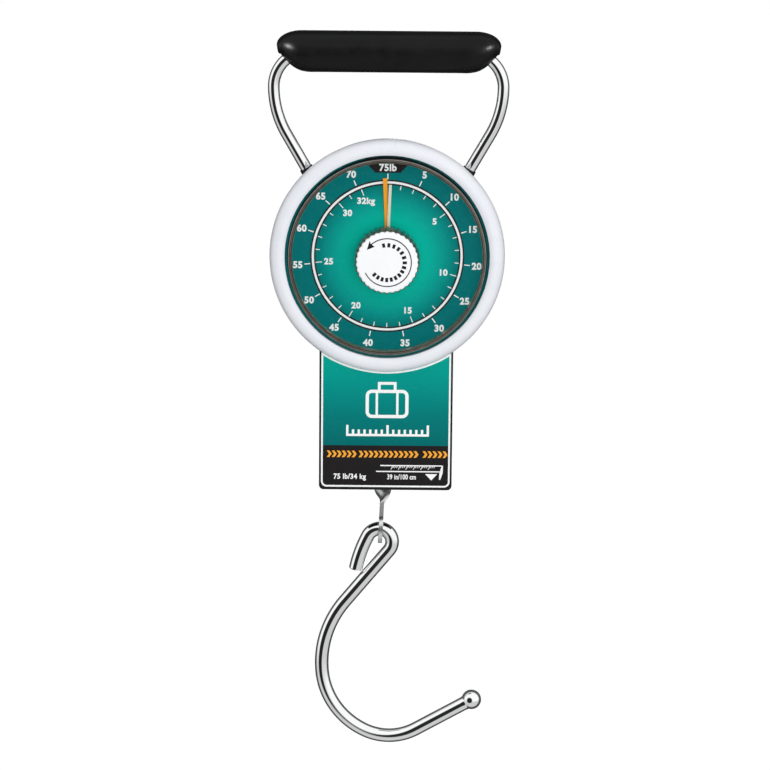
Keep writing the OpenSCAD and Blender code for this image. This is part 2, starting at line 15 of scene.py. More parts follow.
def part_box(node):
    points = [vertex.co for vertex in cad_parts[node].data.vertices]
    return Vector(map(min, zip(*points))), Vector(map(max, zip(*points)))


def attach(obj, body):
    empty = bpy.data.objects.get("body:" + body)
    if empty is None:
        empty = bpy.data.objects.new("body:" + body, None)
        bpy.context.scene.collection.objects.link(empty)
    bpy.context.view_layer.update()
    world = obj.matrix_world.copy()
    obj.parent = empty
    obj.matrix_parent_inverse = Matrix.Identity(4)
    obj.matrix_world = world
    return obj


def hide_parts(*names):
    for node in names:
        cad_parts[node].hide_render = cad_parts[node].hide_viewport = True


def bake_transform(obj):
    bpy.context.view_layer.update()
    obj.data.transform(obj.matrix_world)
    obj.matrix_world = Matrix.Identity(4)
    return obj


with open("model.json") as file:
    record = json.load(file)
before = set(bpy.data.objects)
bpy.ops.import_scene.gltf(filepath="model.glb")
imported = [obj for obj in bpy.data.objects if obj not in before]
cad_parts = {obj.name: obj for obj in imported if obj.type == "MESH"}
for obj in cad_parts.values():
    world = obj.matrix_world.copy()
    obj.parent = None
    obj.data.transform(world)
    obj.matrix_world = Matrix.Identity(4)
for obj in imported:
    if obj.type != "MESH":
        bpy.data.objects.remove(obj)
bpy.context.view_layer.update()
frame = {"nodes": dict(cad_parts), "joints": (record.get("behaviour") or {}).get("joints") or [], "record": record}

MM = 0.001
NODES = frame["nodes"]
SCENE = bpy.context.scene

# Places that the frame gives
DIAL = (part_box("dial_plate")[0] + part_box("dial_plate")[1]) / 2
DIAL_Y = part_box("dial_plate")[0].y
LABEL_LOW, LABEL_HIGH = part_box("front_label")
LABEL_Y = LABEL_LOW.y
CASE_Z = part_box("front_case")[0].z
WINDOW_LOW, WINDOW_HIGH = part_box("dial_window")
KNOB_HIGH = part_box("knob_body")[1]
FACE_LOW, FACE_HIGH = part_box("knob_face")


# ---- helpers: colour and nodes ----

def srgb(red, green, blue):
    """A display colour from 0 to 255 as a linear RGBA tuple."""
    def linear(c):
        c /= 255
        return c / 12.92 if c <= 0.04045 else ((c + 0.055) / 1.055) ** 2.4
    return (linear(red), linear(green), linear(blue), 1)


class Nodes:
    """Short calls for building a material's node tree."""

    def __init__(self, name):
        self.material = bpy.data.materials.new(name)
        self.material.use_nodes = True
        self.tree = self.material.node_tree
        self.shader = self.tree.nodes["Principled BSDF"]

    def new(self, kind, **settings):
        node = self.tree.nodes.new(kind)
        for key, value in settings.items():
            setattr(node, key, value)
        return node

    def link(self, source, target):
        self.tree.links.new(source, target)

    def place(self):
        """The point on the object in the row frame."""
        return self.new("ShaderNodeTexCoord").outputs["Object"]

    def noise(self, size, detail=3.0, vector=None):
        """Noise from 0 to 1 whose features are about size across."""
        node = self.new("ShaderNodeTexNoise")
        node.inputs["Scale"].default_value = 1 / size
        node.inputs["Detail"].default_value = detail
        self.link(vector or self.place(), node.inputs["Vector"])
        return node.outputs["Fac"]

    def spread(self, value, low, high, start=0.3, end=0.7):
        """Maps value from start..end to low..high."""
        node = self.new("ShaderNodeMapRange")
        node.inputs["From Min"].default_value = start
        node.inputs["From Max"].default_value = end
        node.inputs["To Min"].default_value = low
        node.inputs["To Max"].default_value = high
        self.link(value, node.inputs["Value"])
        return node.outputs["Result"]

    def maths(self, operation, a, b=0.0, clamp=False):
        node = self.new("ShaderNodeMath", operation=operation, use_clamp=clamp)
        for socket, value in zip(node.inputs, (a, b)):
            if isinstance(value, (int, float)):
                socket.default_value = value
            else:
                self.link(value, socket)
        return node.outputs[0]

    def mix(self, factor, first, second):
        """A colour between first and second."""
        node = self.new("ShaderNodeMix", data_type="RGBA")
        for key, value in (("Factor", factor), ("A", first), ("B", second)):
            socket = next(s for s in node.inputs if s.name == key and s.enabled)
            if isinstance(value, (int, float, tuple)):
                socket.default_value = value
            else:
                self.link(value, socket)
        return next(s for s in node.outputs if s.enabled)

    def ramp(self, value, stops, interpolation="LINEAR"):
        node = self.new("ShaderNodeValToRGB")
        ramp = node.color_ramp
        ramp.interpolation = interpolation
        for element, (position, colour) in zip(ramp.elements, (stops[0], stops[-1])):
            element.position = position
            element.color = colour
        for position, colour in stops[1:-1]:
            ramp.elements.new(position).color = colour
        self.link(value, node.inputs["Fac"])
        return node.outputs["Color"]

    def bump(self, height, depth, strength=1.0, after=None):
        """Relief of the given depth, in metres."""
        node = self.new("ShaderNodeBump")
        node.inputs["Strength"].default_value = strength
        node.inputs["Distance"].default_value = depth
        self.link(height, node.inputs["Height"])
        if after is not None:
            self.link(after, node.inputs["Normal"])
        return node.outputs["Normal"]

    def set(self, **values):
        """Sets or links inputs of the shader; an underscore in a name stands for a space."""
        for key, value in values.items():
            socket = self.shader.inputs[key.replace("_", " ")]
            if isinstance(value, (int, float, tuple)):
                socket.default_value = value
            else:
                self.link(value, socket)
        return self.material


# ---- materials ----

def plastic(name, light, dark, roughness, grain, depth, **more):
    """Moulded plastic: fine grain, faint mottling and a roughness that wanders."""
    n = Nodes(name)
    colour = n.mix(n.spread(n.noise(9 * MM, 4), 0, 1), dark, light)
    relief = n.bump(n.noise(grain, 2), depth)
    rough = n.spread(n.noise(5 * MM, 5), roughness - 0.05, roughness + 0.06)
    return n.set(Base_Color=colour, Roughness=rough, Normal=relief, **more)


def metal(name, colour, roughness, scratches=0.0, stretch=(1, 1, 1), tarnish=0.85):
    """Bare or plated metal: smudges in its gloss, and scratches along one direction."""
    n = Nodes(name)
    dull = tuple(c * tarnish for c in colour[:3]) + (1,)
    scaled = n.new("ShaderNodeVectorMath", operation="MULTIPLY")
    n.link(n.place(), scaled.inputs[0])
    scaled.inputs[1].default_value = stretch
    streaks = n.noise(0.35 * MM, 3, scaled.outputs["Vector"])
    smudge = n.noise(11 * MM, 5)
    tint = n.mix(n.spread(smudge, 0, 1), dull, colour)
    rough = n.maths("ADD", n.spread(smudge, roughness * 0.8, roughness * 1.35),
                    n.spread(streaks, 0, scratches * 0.25))
    relief = n.bump(streaks, 0.004 * MM * (0.3 + scratches * 8))
    return n.set(Base_Color=tint, Roughness=rough, Metallic=1.0, Normal=relief)


def radial(n):
    """Distance from the dial's axis, in metres."""
    away = n.new("ShaderNodeVectorMath", operation="SUBTRACT")
    n.link(n.place(), away.inputs[0])
    away.inputs[1].default_value = DIAL
    flat = n.new("ShaderNodeVectorMath", operation="MULTIPLY")
    n.link(away.outputs["Vector"], flat.inputs[0])
    flat.inputs[1].default_value = (1, 0, 1)
    length = n.new("ShaderNodeVectorMath", operation="LENGTH")
    n.link(flat.outputs["Vector"], length.inputs[0])
    return length.outputs["Value"]


def finish_print(n, colour, speckle, smudge, gloss, grain, depth):
    """Speckles a printed colour, and gives it a smudged gloss and a fine grain."""
    shade = n.new("ShaderNodeHueSaturation")
    n.link(colour, shade.inputs["Color"])
    n.link(n.spread(n.noise(0.25 * MM, 1), *speckle), shade.inputs["Value"])
    rough = n.spread(n.noise(smudge, 4), 0.2, 0.32)
    return n.set(Base_Color=shade.outputs["Color"], Roughness=rough, Specular_IOR_Level=gloss,
                 Normal=n.bump(n.noise(grain, 2), depth))


def printed_dial():
    """Teal print, bright in the middle, darker towards the scale ring, plain outside it."""
    n = Nodes("printed_dial")
    edge = 46 * MM
    stops = [(0.0, srgb(0, 201, 179)), (13 * MM, srgb(0, 196, 174)), (17 * MM, srgb(0, 186, 164)),
             (21 * MM, srgb(4, 169, 154)), (25.5 * MM, srgb(3, 149, 141)),
             (29 * MM, srgb(2, 127, 122)), (31.5 * MM, srgb(2, 115, 116)), (edge, srgb(2, 115, 116))]
    print_colour = n.ramp(n.maths("DIVIDE", radial(n), edge), [(r / edge, c) for r, c in stops])
    return finish_print(n, print_colour, (0.93, 1.05), 6 * MM, 0.08, 0.4 * MM, 0.004 * MM)


def printed_label():
    """Teal print that darkens downwards, with a black field at the bottom."""
    n = Nodes("printed_label")
    split = n.new("ShaderNodeSeparateXYZ")
    n.link(n.place(), split.inputs[0])
    low, high = LABEL_LOW.z, LABEL_HIGH.z
    field = (CASE_Z + BLACK_FIELD - low) / (high - low)
    height = n.maths("DIVIDE", n.maths("SUBTRACT", split.outputs["Z"], low), high - low)
    teal = [(field, srgb(3, 105, 105)), (field + 0.2, srgb(2, 121, 118)),
            (field + 0.42, srgb(0, 145, 137)), (field + 0.62, srgb(0, 163, 146)), (1, srgb(0, 166, 147))]
    gradient = n.ramp(height, teal)
    is_black = n.maths("LESS_THAN", height, field)
    colour = n.mix(is_black, gradient, srgb(34, 32, 33))
    return finish_print(n, colour, (0.94, 1.04), 7 * MM, 0.1, 0.5 * MM, 0.005 * MM)


def ink(name, colour, roughness=0.5):
    """Screen-printed ink with a slightly uneven laydown."""
    n = Nodes(name)
    thin = tuple(c * 0.9 for c in colour[:3]) + (1,)
    laid = n.mix(n.spread(n.noise(0.5 * MM, 3), 0, 1), thin, colour)
    rough = n.spread(n.noise(1.2 * MM, 3), roughness - 0.06, roughness + 0.08)
    return n.set(Base_Color=laid, Roughness=rough, Specular_IOR_Level=0.25,
                 Normal=n.bump(n.noise(0.3 * MM, 2), 0.004 * MM))


def clear_plastic():
    """The clear pane: see-through, and it mirrors more the flatter it is looked at."""
    n = Nodes("clear_plastic")
    relief = n.bump(n.noise(9 * MM, 2), 0.01 * MM)
    open_part, gloss = n.new("ShaderNodeBsdfTransparent"), n.new("ShaderNodeBsdfGlossy")
    open_part.inputs["Color"].default_value = (0.985, 0.99, 0.99, 1)
    n.link(n.spread(n.noise(14 * MM, 4), 0.03, 0.09), gloss.inputs["Roughness"])
    n.link(relief, gloss.inputs["Normal"])
    edge, mixed = n.new("ShaderNodeFresnel"), n.new("ShaderNodeMixShader")
    edge.inputs["IOR"].default_value = 1.4
    outside = n.maths("SUBTRACT", 1.0, n.new("ShaderNodeNewGeometry").outputs["Backfacing"])
    n.link(n.maths("MULTIPLY", edge.outputs["Fac"], outside), mixed.inputs["Fac"])
    n.link(open_part.outputs["BSDF"], mixed.inputs[1])
    n.link(gloss.outputs["BSDF"], mixed.inputs[2])
    n.link(mixed.outputs["Shader"], n.tree.nodes["Material Output"].inputs["Surface"])
    n.tree.nodes.remove(n.shader)
    return n.material


def smoked_plastic():
    """The window's clear wall, seen edge-on: painted dark where its edge shows dark surroundings, with thin
    lighter lines round it as painted reflections, and black at its foot as painted shade.
    """
    n = Nodes("smoked_plastic")
    first, last = WALL_IN, WALL_OUT + WALL_FOOT
    across = n.spread(radial(n), 0, 1, first, last)
    brown, olive, black = srgb(66, 60, 55), srgb(150, 146, 126), srgb(22, 20, 19)
    # Painted reflection and shade: light lines for light the clear edge mirrors, brown for dark surroundings seen
    # through it, black at the foot for shade
    stops = [(0.0, olive), (0.05, brown), (0.3, srgb(58, 53, 49)), (0.36, srgb(140, 134, 118)),
             (0.42, brown), (0.62, srgb(84, 80, 74)), (0.68, srgb(186, 186, 180)), (0.72, brown),
             (0.84, black), (1.0, black)]
    painted_bands = n.ramp(across, stops)
    mottled = n.mix(n.spread(n.noise(2.5 * MM, 3), 0, 0.35), painted_bands, black)
    rough = n.spread(n.noise(6 * MM, 3), 0.16, 0.3)
    return n.set(Base_Color=mottled, Roughness=rough, Specular_IOR_Level=0.4,
                 Normal=n.bump(n.noise(3 * MM, 2), 0.02 * MM))


def felt():
    n = Nodes("felt")
    fibres = n.noise(0.25 * MM, 5)
    colour = n.mix(n.spread(fibres, 0, 1), (0.12, 0.06, 0.03, 1), (0.4, 0.25, 0.14, 1))
    return n.set(Base_Color=colour, Roughness=0.95, Normal=n.bump(fibres, 0.15 * MM))


# Height of the label's black field above the bottom of the case
BLACK_FIELD = 19.6 * MM
# The window's wall: inner and outer radius, and how far its foot reaches past it
WALL_IN = 40.4 * MM
WALL_OUT = 42.2 * MM
WALL_FOOT = 0.3 * MM

MATERIALS = {
    "grip_plastic": plastic("grip_plastic", (0.007, 0.007, 0.0072, 1), (0.0045, 0.0045, 0.005, 1),
                            0.3, 0.45 * MM, 0.012 * MM, Specular_IOR_Level=0.12),
    "black_plastic": plastic("black_plastic", (0.011, 0.0105, 0.0105, 1), (0.006, 0.006, 0.006, 1),
                             0.42, 0.35 * MM, 0.05 * MM, Specular_IOR_Level=0.3),
    "white_plastic": plastic("white_plastic", (0.84, 0.855, 0.9, 1), (0.80, 0.82, 0.87, 1),
                             0.3, 1.6 * MM, 0.008 * MM, Specular_IOR_Level=0.35,
                             Coat_Weight=0.15, Coat_Roughness=0.1),
    "cap_plastic": plastic("cap_plastic", (0.95, 0.955, 0.97, 1), (0.92, 0.925, 0.945, 1),
                           0.34, 1.4 * MM, 0.006 * MM, Specular_IOR_Level=0.3),
    "knob_plastic": plastic("knob_plastic", srgb(92, 86, 78), srgb(46, 42, 38),
                            0.3, 0.8 * MM, 0.03 * MM, Specular_IOR_Level=0.4),
    "nylon": plastic("nylon", (0.78, 0.76, 0.7, 1), (0.7, 0.68, 0.6, 1), 0.5, 0.6 * MM, 0.02 * MM),
    "chrome_wire": metal("chrome_wire", (0.9, 0.9, 0.9, 1), 0.06, 0.08, tarnish=0.93),
    "zinc_steel": metal("zinc_steel", (0.62, 0.64, 0.66, 1), 0.28, 0.6, (1, 1, 0.15)),
    "spring_steel": metal("spring_steel", (0.42, 0.43, 0.45, 1), 0.25, 0.3),
    "screw_steel": metal("screw_steel", (0.24, 0.24, 0.25, 1), 0.32, 0.4),
    "pull_bar_steel": metal("pull_bar_steel", (0.78, 0.79, 0.8, 1), 0.2, 0.5, (1, 1, 0.1)),
    "brass": metal("brass", (0.78, 0.58, 0.24, 1), 0.25, 0.4),
    "orange_paint": ink("orange_paint", srgb(255, 168, 44), 0.42),
    "cream_paint": ink("cream_paint", srgb(228, 224, 206), 0.42),
    "tape_yellow": ink("tape_yellow", srgb(236, 196, 56), 0.35),
    "printed_dial": printed_dial(),
    "printed_label": printed_label(),
    "clear_plastic": clear_plastic(),
    "smoked_plastic": smoked_plastic(),
    "felt": felt(),
    "white_ink": ink("white_ink", (0.97, 0.98, 0.97, 1)),
    "black_ink": ink("black_ink", srgb(30, 26, 27)),
    "orange_ink": ink("orange_ink", srgb(252, 172, 56)),
}


# ---- helpers: meshes ----

def finish_mesh(name, points, faces, body, material, angle=40):
    """A mesh object with smooth shading up to angle, riding on body; body None leaves that open."""
    mesh = bpy.data.meshes.new(name)
    mesh.from_pydata([tuple(p) for p in points], [], [tuple(int(i) for i in f) for f in faces])
    tidy = bmesh.new()
    tidy.from_mesh(mesh)
    bmesh.ops.remove_doubles(tidy, verts=tidy.verts, dist=1e-7)
    bmesh.ops.recalc_face_normals(tidy, faces=tidy.faces)
    tidy.to_mesh(mesh)
    tidy.free()
    mesh.shade_smooth()
    mesh.set_sharp_from_angle(angle=math.radians(angle))
    obj = bpy.data.objects.new(name, mesh)
    SCENE.collection.objects.link(obj)
    mesh.materials.append(MATERIALS[material])
    if body:
        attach(obj, body)
    return obj


def grid_faces(rows, columns, wrap_rows=False, wrap_columns=True):
    """Quads between the points of a grid that is stored row by row."""
    return [(i * columns + j, i * columns + (j + 1) % columns,
             (i + 1) % rows * columns + (j + 1) % columns, (i + 1) % rows * columns + j)
            for i in range(rows if wrap_rows else rows - 1)
            for j in range(columns if wrap_columns else columns - 1)]


def lathe_points(profile, segments, ripple=None):
    """Points of a profile of (radius, y) turned round the dial's axis; ripple(angle) scales it."""
    points = []
    for radius, y in profile:
        for k in range(segments):
            a = 2 * math.pi * k / segments
            r = radius * (ripple(a, radius) if ripple else 1)
            points.append((DIAL.x + r * math.sin(a), y, DIAL.z + r * math.cos(a)))
    return points


def ring_solid(name, profile, body, material, segments=192, ripple=None, angle=40):
    """A closed profile of (radius, y) turned round the dial's axis."""
    points = lathe_points(profile, segments, ripple)
    faces = grid_faces(len(profile), segments, wrap_rows=True)
    return finish_mesh(name, points, faces, body, material, angle)


def disc_solid(name, profile, body, material, segments=192, ripple=None, angle=40):
    """An open profile of (radius, y), turned round the dial's axis and closed at both ends."""
    points = lathe_points(profile, segments, ripple)
    rows = len(profile)
    faces = grid_faces(rows, segments)
    points += [(DIAL.x, profile[0][1], DIAL.z), (DIAL.x, profile[-1][1], DIAL.z)]
    first, last = rows * segments, rows * segments + 1
    for k in range(segments):
        faces.append((first, (k + 1) % segments, k))
        end = (rows - 1) * segments
        faces.append((last, end + k, end + (k + 1) % segments))
    return finish_mesh(name, points, faces, body, material, angle)


def arc(centre, radius, start, end, steps):
    """Points on an arc, with angles in degrees, anticlockwise from the first axis."""
    return [(centre[0] + radius * math.cos(math.radians(a)),
             centre[1] + radius * math.sin(math.radians(a)))
            for a in np.linspace(start, end, steps + 1)]


def run(step, start):
    """The end of one step [length, 0] or [radius, turn] from start (x, z, heading), in degrees."""
    size, turn = step
    x, z, a = start
    if turn == 0:
        return (x + size * math.cos(math.radians(a)), z + size * math.sin(math.radians(a)), a)
    b, side = a + turn, math.copysign(1, turn)
    return (x + side * size * (math.sin(math.radians(b)) - math.sin(math.radians(a))),
            z - side * size * (math.cos(math.radians(b)) - math.cos(math.radians(a))), b)


def stations(steps, start, bend_step=2.0):
    """Fine stations (x, z, heading) along a wire in the XZ plane."""
    found = [start]
    for size, turn in steps:
        pieces = max(1, math.ceil(abs(turn) / bend_step)) if turn else 4
        here = found[-1]
        for k in range(1, pieces + 1):
            part = (size, turn * k / pieces) if turn else (size * k / pieces, 0)
            found.append(run(part, here))
    return found


def tube(path, radius, sides=40, chamfer=0.0):
    """Points and faces of a round wire along stations, with flat or chamfered ends."""
    rings = [(x, z, a, radius) for x, z, a in path]
    if chamfer:
        x, z, a = path[0]
        back = run((-chamfer, 0), (x, z, a))
        rings = [(*back, radius - chamfer)] + rings
    points, faces = [], []
    for x, z, a, r in rings:
        for k in range(sides):
            t = 2 * math.pi * k / sides
            across = r * math.cos(t)
            points.append((x - across * math.sin(math.radians(a)), r * math.sin(t),
                           z + across * math.cos(math.radians(a))))
    faces = grid_faces(len(rings), sides)
    faces.append(tuple(range(sides)))
    faces.append(tuple(range((len(rings) - 1) * sides, len(rings) * sides)))
    return points, faces


def rod_y(x, z, radius, y0, y1, sides=32):
    """Points and faces of a cylinder along Y."""
    points = [(x + radius * math.cos(2 * math.pi * k / sides), y,
               z + radius * math.sin(2 * math.pi * k / sides))
              for y in (y0, y1) for k in range(sides)]
    faces = grid_faces(2, sides) + [tuple(range(sides)), tuple(range(sides, 2 * sides))]
    return points, faces


def joined(*shapes):
    """Several (points, faces) as one."""
    points, faces = [], []
    for more_points, more_faces in shapes:
        offset = len(points)
        points += list(more_points)
        faces += [tuple(i + offset for i in f) for f in more_faces]
    return points, faces


# ---- print: flat shapes that face the reader ----

_figures = {}


def figure(body, bold):
    """Filled outlines of a figure in the plain built-in type, one unit high, centred on its box."""
    key = (body, bold)
    if key not in _figures:
        curve = bpy.data.curves.new("figure", "FONT")
        curve.body = body
        curve.offset = bold
        curve.resolution_u = 4
        curve.space_character = 1 + 2 * bold
        obj = bpy.data.objects.new("figure", curve)
        SCENE.collection.objects.link(obj)
        bpy.context.view_layer.update()
        mesh = bpy.data.meshes.new_from_object(
            obj.evaluated_get(bpy.context.evaluated_depsgraph_get()))
        points = np.array([v.co[:2] for v in mesh.vertices], float)
        faces = [tuple(p.vertices) for p in mesh.polygons]
        points -= (points.min(0) + points.max(0)) / 2
        _figures[key] = (points, faces)
        bpy.data.objects.remove(obj)
        bpy.data.curves.remove(curve)
        bpy.data.meshes.remove(mesh)
    return _figures[key]


class Print:
    """Flat shapes in the XZ plane, gathered into one thin solid layer of ink."""

    def __init__(self, centre=(0.0, 0.0)):
        self.points, self.faces, self.centre = [], [], centre

    def add(self, points, faces):
        offset = len(self.points)
        self.points += [(self.centre[0] + x, self.centre[1] + z) for x, z in points]
        self.faces += [tuple(i + offset for i in f) for f in faces]

    def outline(self, points):
        self.add(points, [tuple(range(len(points)))])

    def rectangle(self, x0, z0, x1, z1, lean=0.0):
        self.outline([(x0, z0), (x1, z0), (x1 + lean, z1), (x0 + lean, z1)])

    def band(self, inner, outer, start=0.0, end=360.0, steps=240):
        """Part of a ring between two angles, clockwise from the top."""
        whole = end - start >= 360
        count = steps if whole else steps + 1
        angles = [math.radians(start + (end - start) * k / steps) for k in range(count)]
        points = [(r * math.sin(a), r * math.cos(a)) for r in (inner, outer) for a in angles]
        self.add(points, grid_faces(2, count, wrap_columns=whole))

    def tick(self, angle, inner, outer, width):
        a = math.radians(angle)
        along, across = Vector((math.sin(a), math.cos(a))), Vector((math.cos(a), -math.sin(a)))
        self.outline([along * r + across * s * width / 2
                      for r, s in ((inner, -1), (inner, 1), (outer, 1), (outer, -1))])

    def text(self, body, height, at, bold=0.03, stretch=1.0, turn=0.0):
        """A figure with that cap height, its middle at a point, turned clockwise."""
        points, faces = figure(body, bold)
        digit = figure("0", bold)[0]
        scale = height / (digit[:, 1].max() - digit[:, 1].min())
        c, s = math.cos(math.radians(turn)), math.sin(math.radians(turn))
        placed = [(at[0] + scale * (stretch * x * c + z * s), at[1] + scale * (z * c - stretch * x * s))
                  for x, z in points]
        self.add(placed, faces)

    def frame_line(self, path, width):
        """A line of even width along a closed path, anticlockwise."""
        count = len(path)
        inner, outer = [], []
        for k in range(count):
            before, here, after = (Vector(path[(k + s) % count]) for s in (-1, 0, 1))
            a, b = (here - before).normalized(), (after - here).normalized()
            normal = Vector((-(a + b).y, (a + b).x)).normalized()
            reach = width / 2 / max(0.4, normal.dot(Vector((-a.y, a.x))))
            inner.append(here + normal * reach)
            outer.append(here - normal * reach)
        self.add(outer + inner, grid_faces(2, count))

    def build(self, name, y, body, material, slot, thickness=0.04 * MM):
        """The layer's front is at y - thickness and its back just off the surface at y."""
        points = [(x, y - thickness, z) for x, z in self.points]
        obj = finish_mesh(name, points, self.faces, body, material)
        obj.data.shade_flat()
        solid = obj.modifiers.new("thickness", "SOLIDIFY")
        solid.thickness = thickness * 0.9
        solid.offset = -1
        return face_reader(obj)


def face_reader(obj):
    """Turns every face of a flat sheet towards -Y, so that its thickness goes the same way."""
    tidy = bmesh.new()
    tidy.from_mesh(obj.data)
    tidy.normal_update()
    bmesh.ops.reverse_faces(tidy, faces=[f for f in tidy.faces if f.normal.y > 0])
    tidy.to_mesh(obj.data)
    tidy.free()
    return obj


# ---- grip and bail ----

GRIP_R = 8.8 * MM
GRIP_HALF = 47.5 * MM
WIRE_R = 2.5 * MM
BAIL_HALF_W = 48.7 * MM
BAIL_TOP_R = 15 * MM
BAIL_SIDE_R = 40 * MM
LEG_TILT = 30
BAIL_END_Z = -64 * MM


def grip_end(outline, x):
    """Height of the grip's outline at x, through a few points (x, z) by smooth steps."""
    xs, zs = zip(*outline)
    slopes = np.gradient(zs, xs)
    k = min(max(np.searchsorted(xs, x) - 1, 0), len(xs) - 2)
    h = xs[k + 1] - xs[k]
    t = (x - xs[k]) / h
    return ((2 * t**3 - 3 * t**2 + 1) * zs[k] + (t**3 - 2 * t**2 + t) * h * slopes[k]
            + (3 * t**2 - 2 * t**3) * zs[k + 1] + (t**3 - t**2) * h * slopes[k + 1])


def make_grip():
    """One smooth moulding: round noses above, sloped away below where the wire comes out."""
    nose_z = 2.6 * MM
    nose = 10.6 * MM
    low = [(x * MM, z * MM) for x, z in ((30, -8.8), (34.4, -8.75), (38.6, -7.7), (42.6, -4.9),
                                         (45.7, -1.4), (47.3, 1.2), (47.5, 2.6))]
    quarter = [GRIP_HALF * math.sin(math.radians(a)) for a in np.linspace(0, 90, 44)]
    xs = sorted({round(s * x, 9) for x in quarter for s in (-1, 1)})[1:-1]
    sides, points = 64, [(-GRIP_HALF, 0, nose_z)]
    for x in xs:
        away = max(0.0, abs(x) - (GRIP_HALF - nose)) / nose
        top = nose_z + (GRIP_R - nose_z) * math.sqrt(max(0.0, 1 - away**2))
        bottom = grip_end(low, abs(x)) if abs(x) > low[0][0] else -GRIP_R
        half = max((top - bottom) / 2, 1e-5)
        width = GRIP_R * (half / GRIP_R) ** 0.85
        middle = (top + bottom) / 2
        points += [(x, width * math.sin(t), middle + half * math.cos(t))
                   for t in np.linspace(0, 2 * math.pi, sides, endpoint=False)]
    points.append((GRIP_HALF, 0, nose_z))
    faces = [tuple(i + 1 for i in f) for f in grid_faces(len(xs), sides)]
    last = len(points) - 1
    for k in range(sides):
        after = (k + 1) % sides
        faces += [(0, 1 + after, 1 + k), (last, last - sides + k, last - sides + after)]
    grip = finish_mesh("grip_moulding", points, faces, "case", "grip_plastic", 60)
    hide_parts(*[n for n in NODES if n.startswith("grip")])


def make_bail():
    leg_x = BAIL_HALF_W - BAIL_SIDE_R * (1 - math.cos(math.radians(LEG_TILT)))
    leg_z = -BAIL_TOP_R - BAIL_SIDE_R * math.sin(math.radians(LEG_TILT))
    length = (leg_z - BAIL_END_Z) / math.cos(math.radians(LEG_TILT))
    end_x = leg_x - length * math.sin(math.radians(LEG_TILT))
    leg = [(length, 0), (BAIL_SIDE_R, -LEG_TILT), (BAIL_TOP_R, -90)]
    steps = leg + [(2 * (BAIL_HALF_W - BAIL_TOP_R), 0)] + leg[::-1]
    wire = tube(stations(steps, (-end_x, BAIL_END_Z, 90 + LEG_TILT)), WIRE_R)
    feet = [rod_y(s * end_x, BAIL_END_Z + 2 * MM, 2 * MM, -1 * MM, 10.6 * MM) for s in (-1, 1)]
    points, faces = joined(wire, *feet)
    bail = finish_mesh("bail_rod", points, faces, "case", "chrome_wire")
    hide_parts("bail_wire")


# ---- hook ----

HOOK_AT = (-2 * MM, -207.6 * MM)
HOOK_R = 3 * MM
BALL_R = 4.3 * MM
TIP_SIDE = [(6.1 * MM, 62.8), (57 * MM, 15.6)]
BALL_SIDE = [(3.3 * MM, -16.5), (6 * MM, -113.1), (30 * MM, 0), (43.4 * MM, 44.7),
             (33.3 * MM, 60.8), (24.3 * MM, 53.4), (28 * MM, 0)]


def make_hook():
    tip = stations(TIP_SIDE, (*HOOK_AT, 180))[-1]
    back = [(size, -turn) for size, turn in TIP_SIDE[::-1]]
    path = stations(back + BALL_SIDE, (tip[0], tip[1], tip[2] - 180))
    points, faces = tube(path, HOOK_R, chamfer=0.45 * MM)
    rod = finish_mesh("hook_wire", points, faces, "hook", "chrome_wire")
    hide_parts("hook_rod")
    # The ball is upset on the end of the rod, with a small fillet between them
    x, z, heading = path[-1]
    neck = 4.2 * MM
    profile = [(-neck, HOOK_R + 0.02 * MM), (-neck + 0.6 * MM, HOOK_R + 0.12 * MM)]
    profile += [(BALL_R * math.cos(math.radians(a)), BALL_R * math.sin(math.radians(a)))
                for a in np.linspace(134, 6, 24)]
    along = Vector((math.cos(math.radians(heading)), 0, math.sin(math.radians(heading))))
    across = Vector((-along.z, 0, along.x))
    sides = 48
    points = []
    for forward, radius in profile:
        for k in range(sides):
            t = 2 * math.pi * k / sides
            points.append(Vector((x, 0, z)) + along * forward
                          + across * radius * math.cos(t) + Vector((0, radius * math.sin(t), 0)))
    faces = grid_faces(len(profile), sides)
    faces.append(tuple(range(sides)))
    end = (len(profile) - 1) * sides
    points.append(Vector((x, 0, z)) + along * BALL_R)
    faces += [(len(points) - 1, end + k, end + (k + 1) % sides) for k in range(sides)]
    ball = finish_mesh("hook_ball_end", points, faces, "hook", "chrome_wire", 60)
    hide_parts("hook_ball")


# ---- window ----

def make_window():
    front, back = WINDOW_LOW.y, WINDOW_HIGH.y
    pane = 1.4 * MM
    flange = 1.15 * MM
    hole = 7.05 * MM
    edge = WINDOW_HIGH.x
    foot = WALL_OUT + WALL_FOOT
    round_r = 0.9 * MM
    pane_profile = [(hole, front), (WALL_IN, front), (WALL_IN, front + pane), (hole, front + pane)]
    ring_solid("window_pane", pane_profile, "case", "clear_plastic")
    wall = [(WALL_IN + 0.01 * MM, front)]
    wall += arc((WALL_OUT - round_r, front + round_r), round_r, -90, 0, 6)
    wall += arc((foot, back - flange - WALL_FOOT), WALL_FOOT, 180, 90, 5)
    wall += [(foot, back), (WALL_IN + 0.01 * MM, back)]
    # The wall's colour is painted reflection and painted shade, since the real wall is clear
    rim = ring_solid("window_wall", wall, "case", "smoked_plastic")
    rim.visible_shadow = False
    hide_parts("dial_window")
    flange_profile = [(foot + 0.01 * MM, back - flange), (edge, back - flange), (edge, back),
                      (foot + 0.01 * MM, back)]
    ring_solid("window_flange", flange_profile, "case", "clear_plastic")


# ---- reset knob ----

KNOB_LOBES = 34
KNOB_R = 13.5 * MM
CAP_R = 13.1 * MM
NECK_R = 7 * MM


def knob_ripple(depth):
    """Scallops that are deepest at the knob's edge and gone towards its middle."""
    def ripple(angle, radius):
        fade = max(0.0, (radius / KNOB_R - 0.85) / 0.15)
        return 1 - depth * fade * abs(math.sin(KNOB_LOBES * angle / 2)) ** 3
    return ripple


